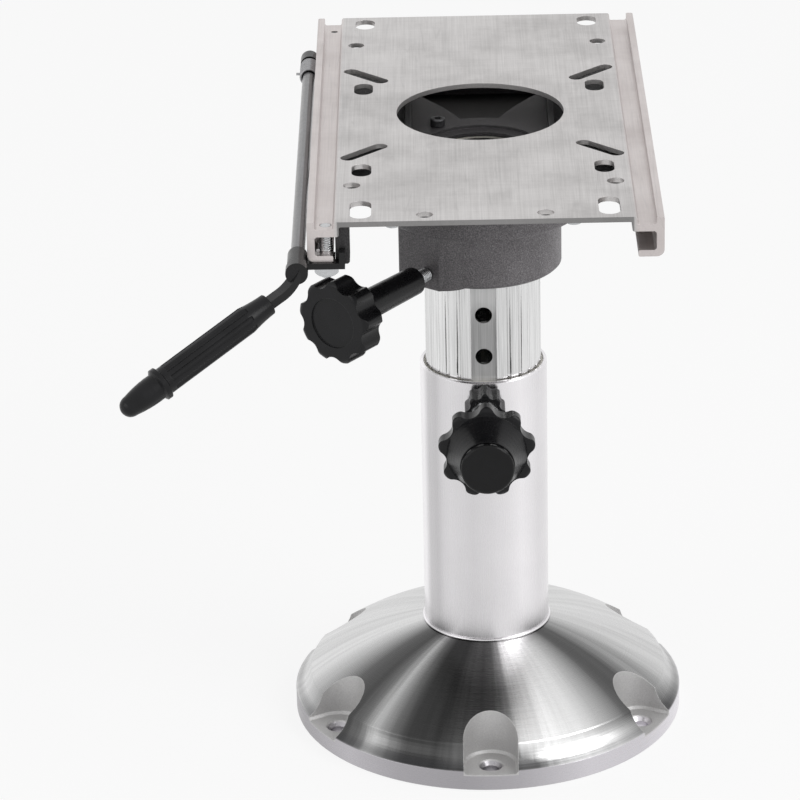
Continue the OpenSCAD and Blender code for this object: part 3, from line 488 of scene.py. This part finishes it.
# Studio
def seen_directly(tree, *rays):
    """1 where a ray comes from the camera or by one of those other kinds, else 0."""
    path = tree.nodes.new("ShaderNodeLightPath")
    seen = path.outputs["Is Camera Ray"]
    for ray in rays:
        most = tree.nodes.new("ShaderNodeMath")
        most.operation = "MAXIMUM"
        tree.links.new(seen, most.inputs[0])
        tree.links.new(path.outputs[ray], most.inputs[1])
        seen = most.outputs[0]
    return seen


def world():
    """White where it is seen, weaker where it lights the object."""
    w = bpy.data.worlds.new("studio")
    bpy.context.scene.world = w
    w.use_nodes = True
    t = w.node_tree
    bg = t.nodes["Background"]
    level = t.nodes.new("ShaderNodeMapRange")
    level.inputs["To Min"].default_value = 0.62
    level.inputs["To Max"].default_value = 1.0
    t.links.new(seen_directly(t, "Is Glossy Ray", "Is Transmission Ray"),
                level.inputs["Value"])
    t.links.new(level.outputs[0], bg.inputs["Strength"])
    bg.inputs["Color"].default_value = (1, 1, 1, 1)


def floor():
    """White floor that keeps the object's shadow."""
    mesh = bpy.data.meshes.new("floor")
    s = 6.0
    mesh.from_pydata([(-s, -s, 0), (s, -s, 0), (s, s, 0), (-s, s, 0)], [], [(0, 1, 2, 3)])
    plane = bpy.data.objects.new("floor", mesh)
    bpy.context.scene.collection.objects.link(plane)
    mat = bpy.data.materials.new("floor_white")
    mat.use_nodes = True
    t = mat.node_tree
    bsdf = t.nodes["Principled BSDF"]
    bsdf.inputs["Base Color"].default_value = (0.88, 0.88, 0.88, 1)
    bsdf.inputs["Roughness"].default_value = 0.9
    bsdf.inputs["Specular IOR Level"].default_value = 0.1
    glow = t.nodes.new("ShaderNodeEmission")
    glow.inputs["Color"].default_value = (1, 1, 1, 1)
    part = t.nodes.new("ShaderNodeMath")
    part.operation = "MULTIPLY"
    part.inputs[1].default_value = FLOOR_WHITE
    t.links.new(seen_directly(t, "Is Glossy Ray"), part.inputs[0])
    mix = t.nodes.new("ShaderNodeMixShader")
    t.links.new(part.outputs[0], mix.inputs[0])
    t.links.new(bsdf.outputs[0], mix.inputs[1])
    t.links.new(glow.outputs[0], mix.inputs[2])
    t.links.new(mix.outputs[0], t.nodes["Material Output"].inputs["Surface"])
    mesh.materials.append(mat)


def lamp(name, place, target, size, watts):
    data = bpy.data.lights.new(name, "AREA")
    data.shape = "RECTANGLE"
    data.size, data.size_y = size
    data.energy = watts
    obj = bpy.data.objects.new(name, data)
    bpy.context.scene.collection.objects.link(obj)
    obj.location = place
    obj.rotation_euler = (Vector(target) - Vector(place)).to_track_quat("-Z", "Y").to_euler()


def camera():
    """The photograph's viewpoint, in true proportions."""
    ahead = Vector((math.sin(YAW)*math.cos(PITCH), math.cos(YAW)*math.cos(PITCH),
                    -math.sin(PITCH)))
    right = Vector((math.cos(YAW), -math.sin(YAW), 0))
    up = right.cross(ahead)
    r = right*math.cos(ROLL) + up*math.sin(ROLL)
    u = -right*math.sin(ROLL) + up*math.cos(ROLL)
    data = bpy.data.cameras.new("camera")
    data.sensor_width, data.lens, data.shift_x = SENSOR, LENS, SHIFT_X
    data.clip_start, data.clip_end = 0.05, 50
    cam = bpy.data.objects.new("camera", data)
    bpy.context.scene.collection.objects.link(cam)
    rot = Matrix((r, u, -ahead)).transposed()
    cam.matrix_world = Matrix.Translation(CAMERA_AT) @ rot.to_4x4()
    bpy.context.scene.camera = cam


world()
floor()
lamp("key", (1.5, -1.0, 1.5), (0, 0, 0.22), (1.2, 1.2), 16)
lamp("fill", (-1.6, -1.3, 1.0), (0, 0, 0.2), (1.4, 1.2), 6)
camera()
bpy.context.scene.view_settings.view_transform = "Standard"
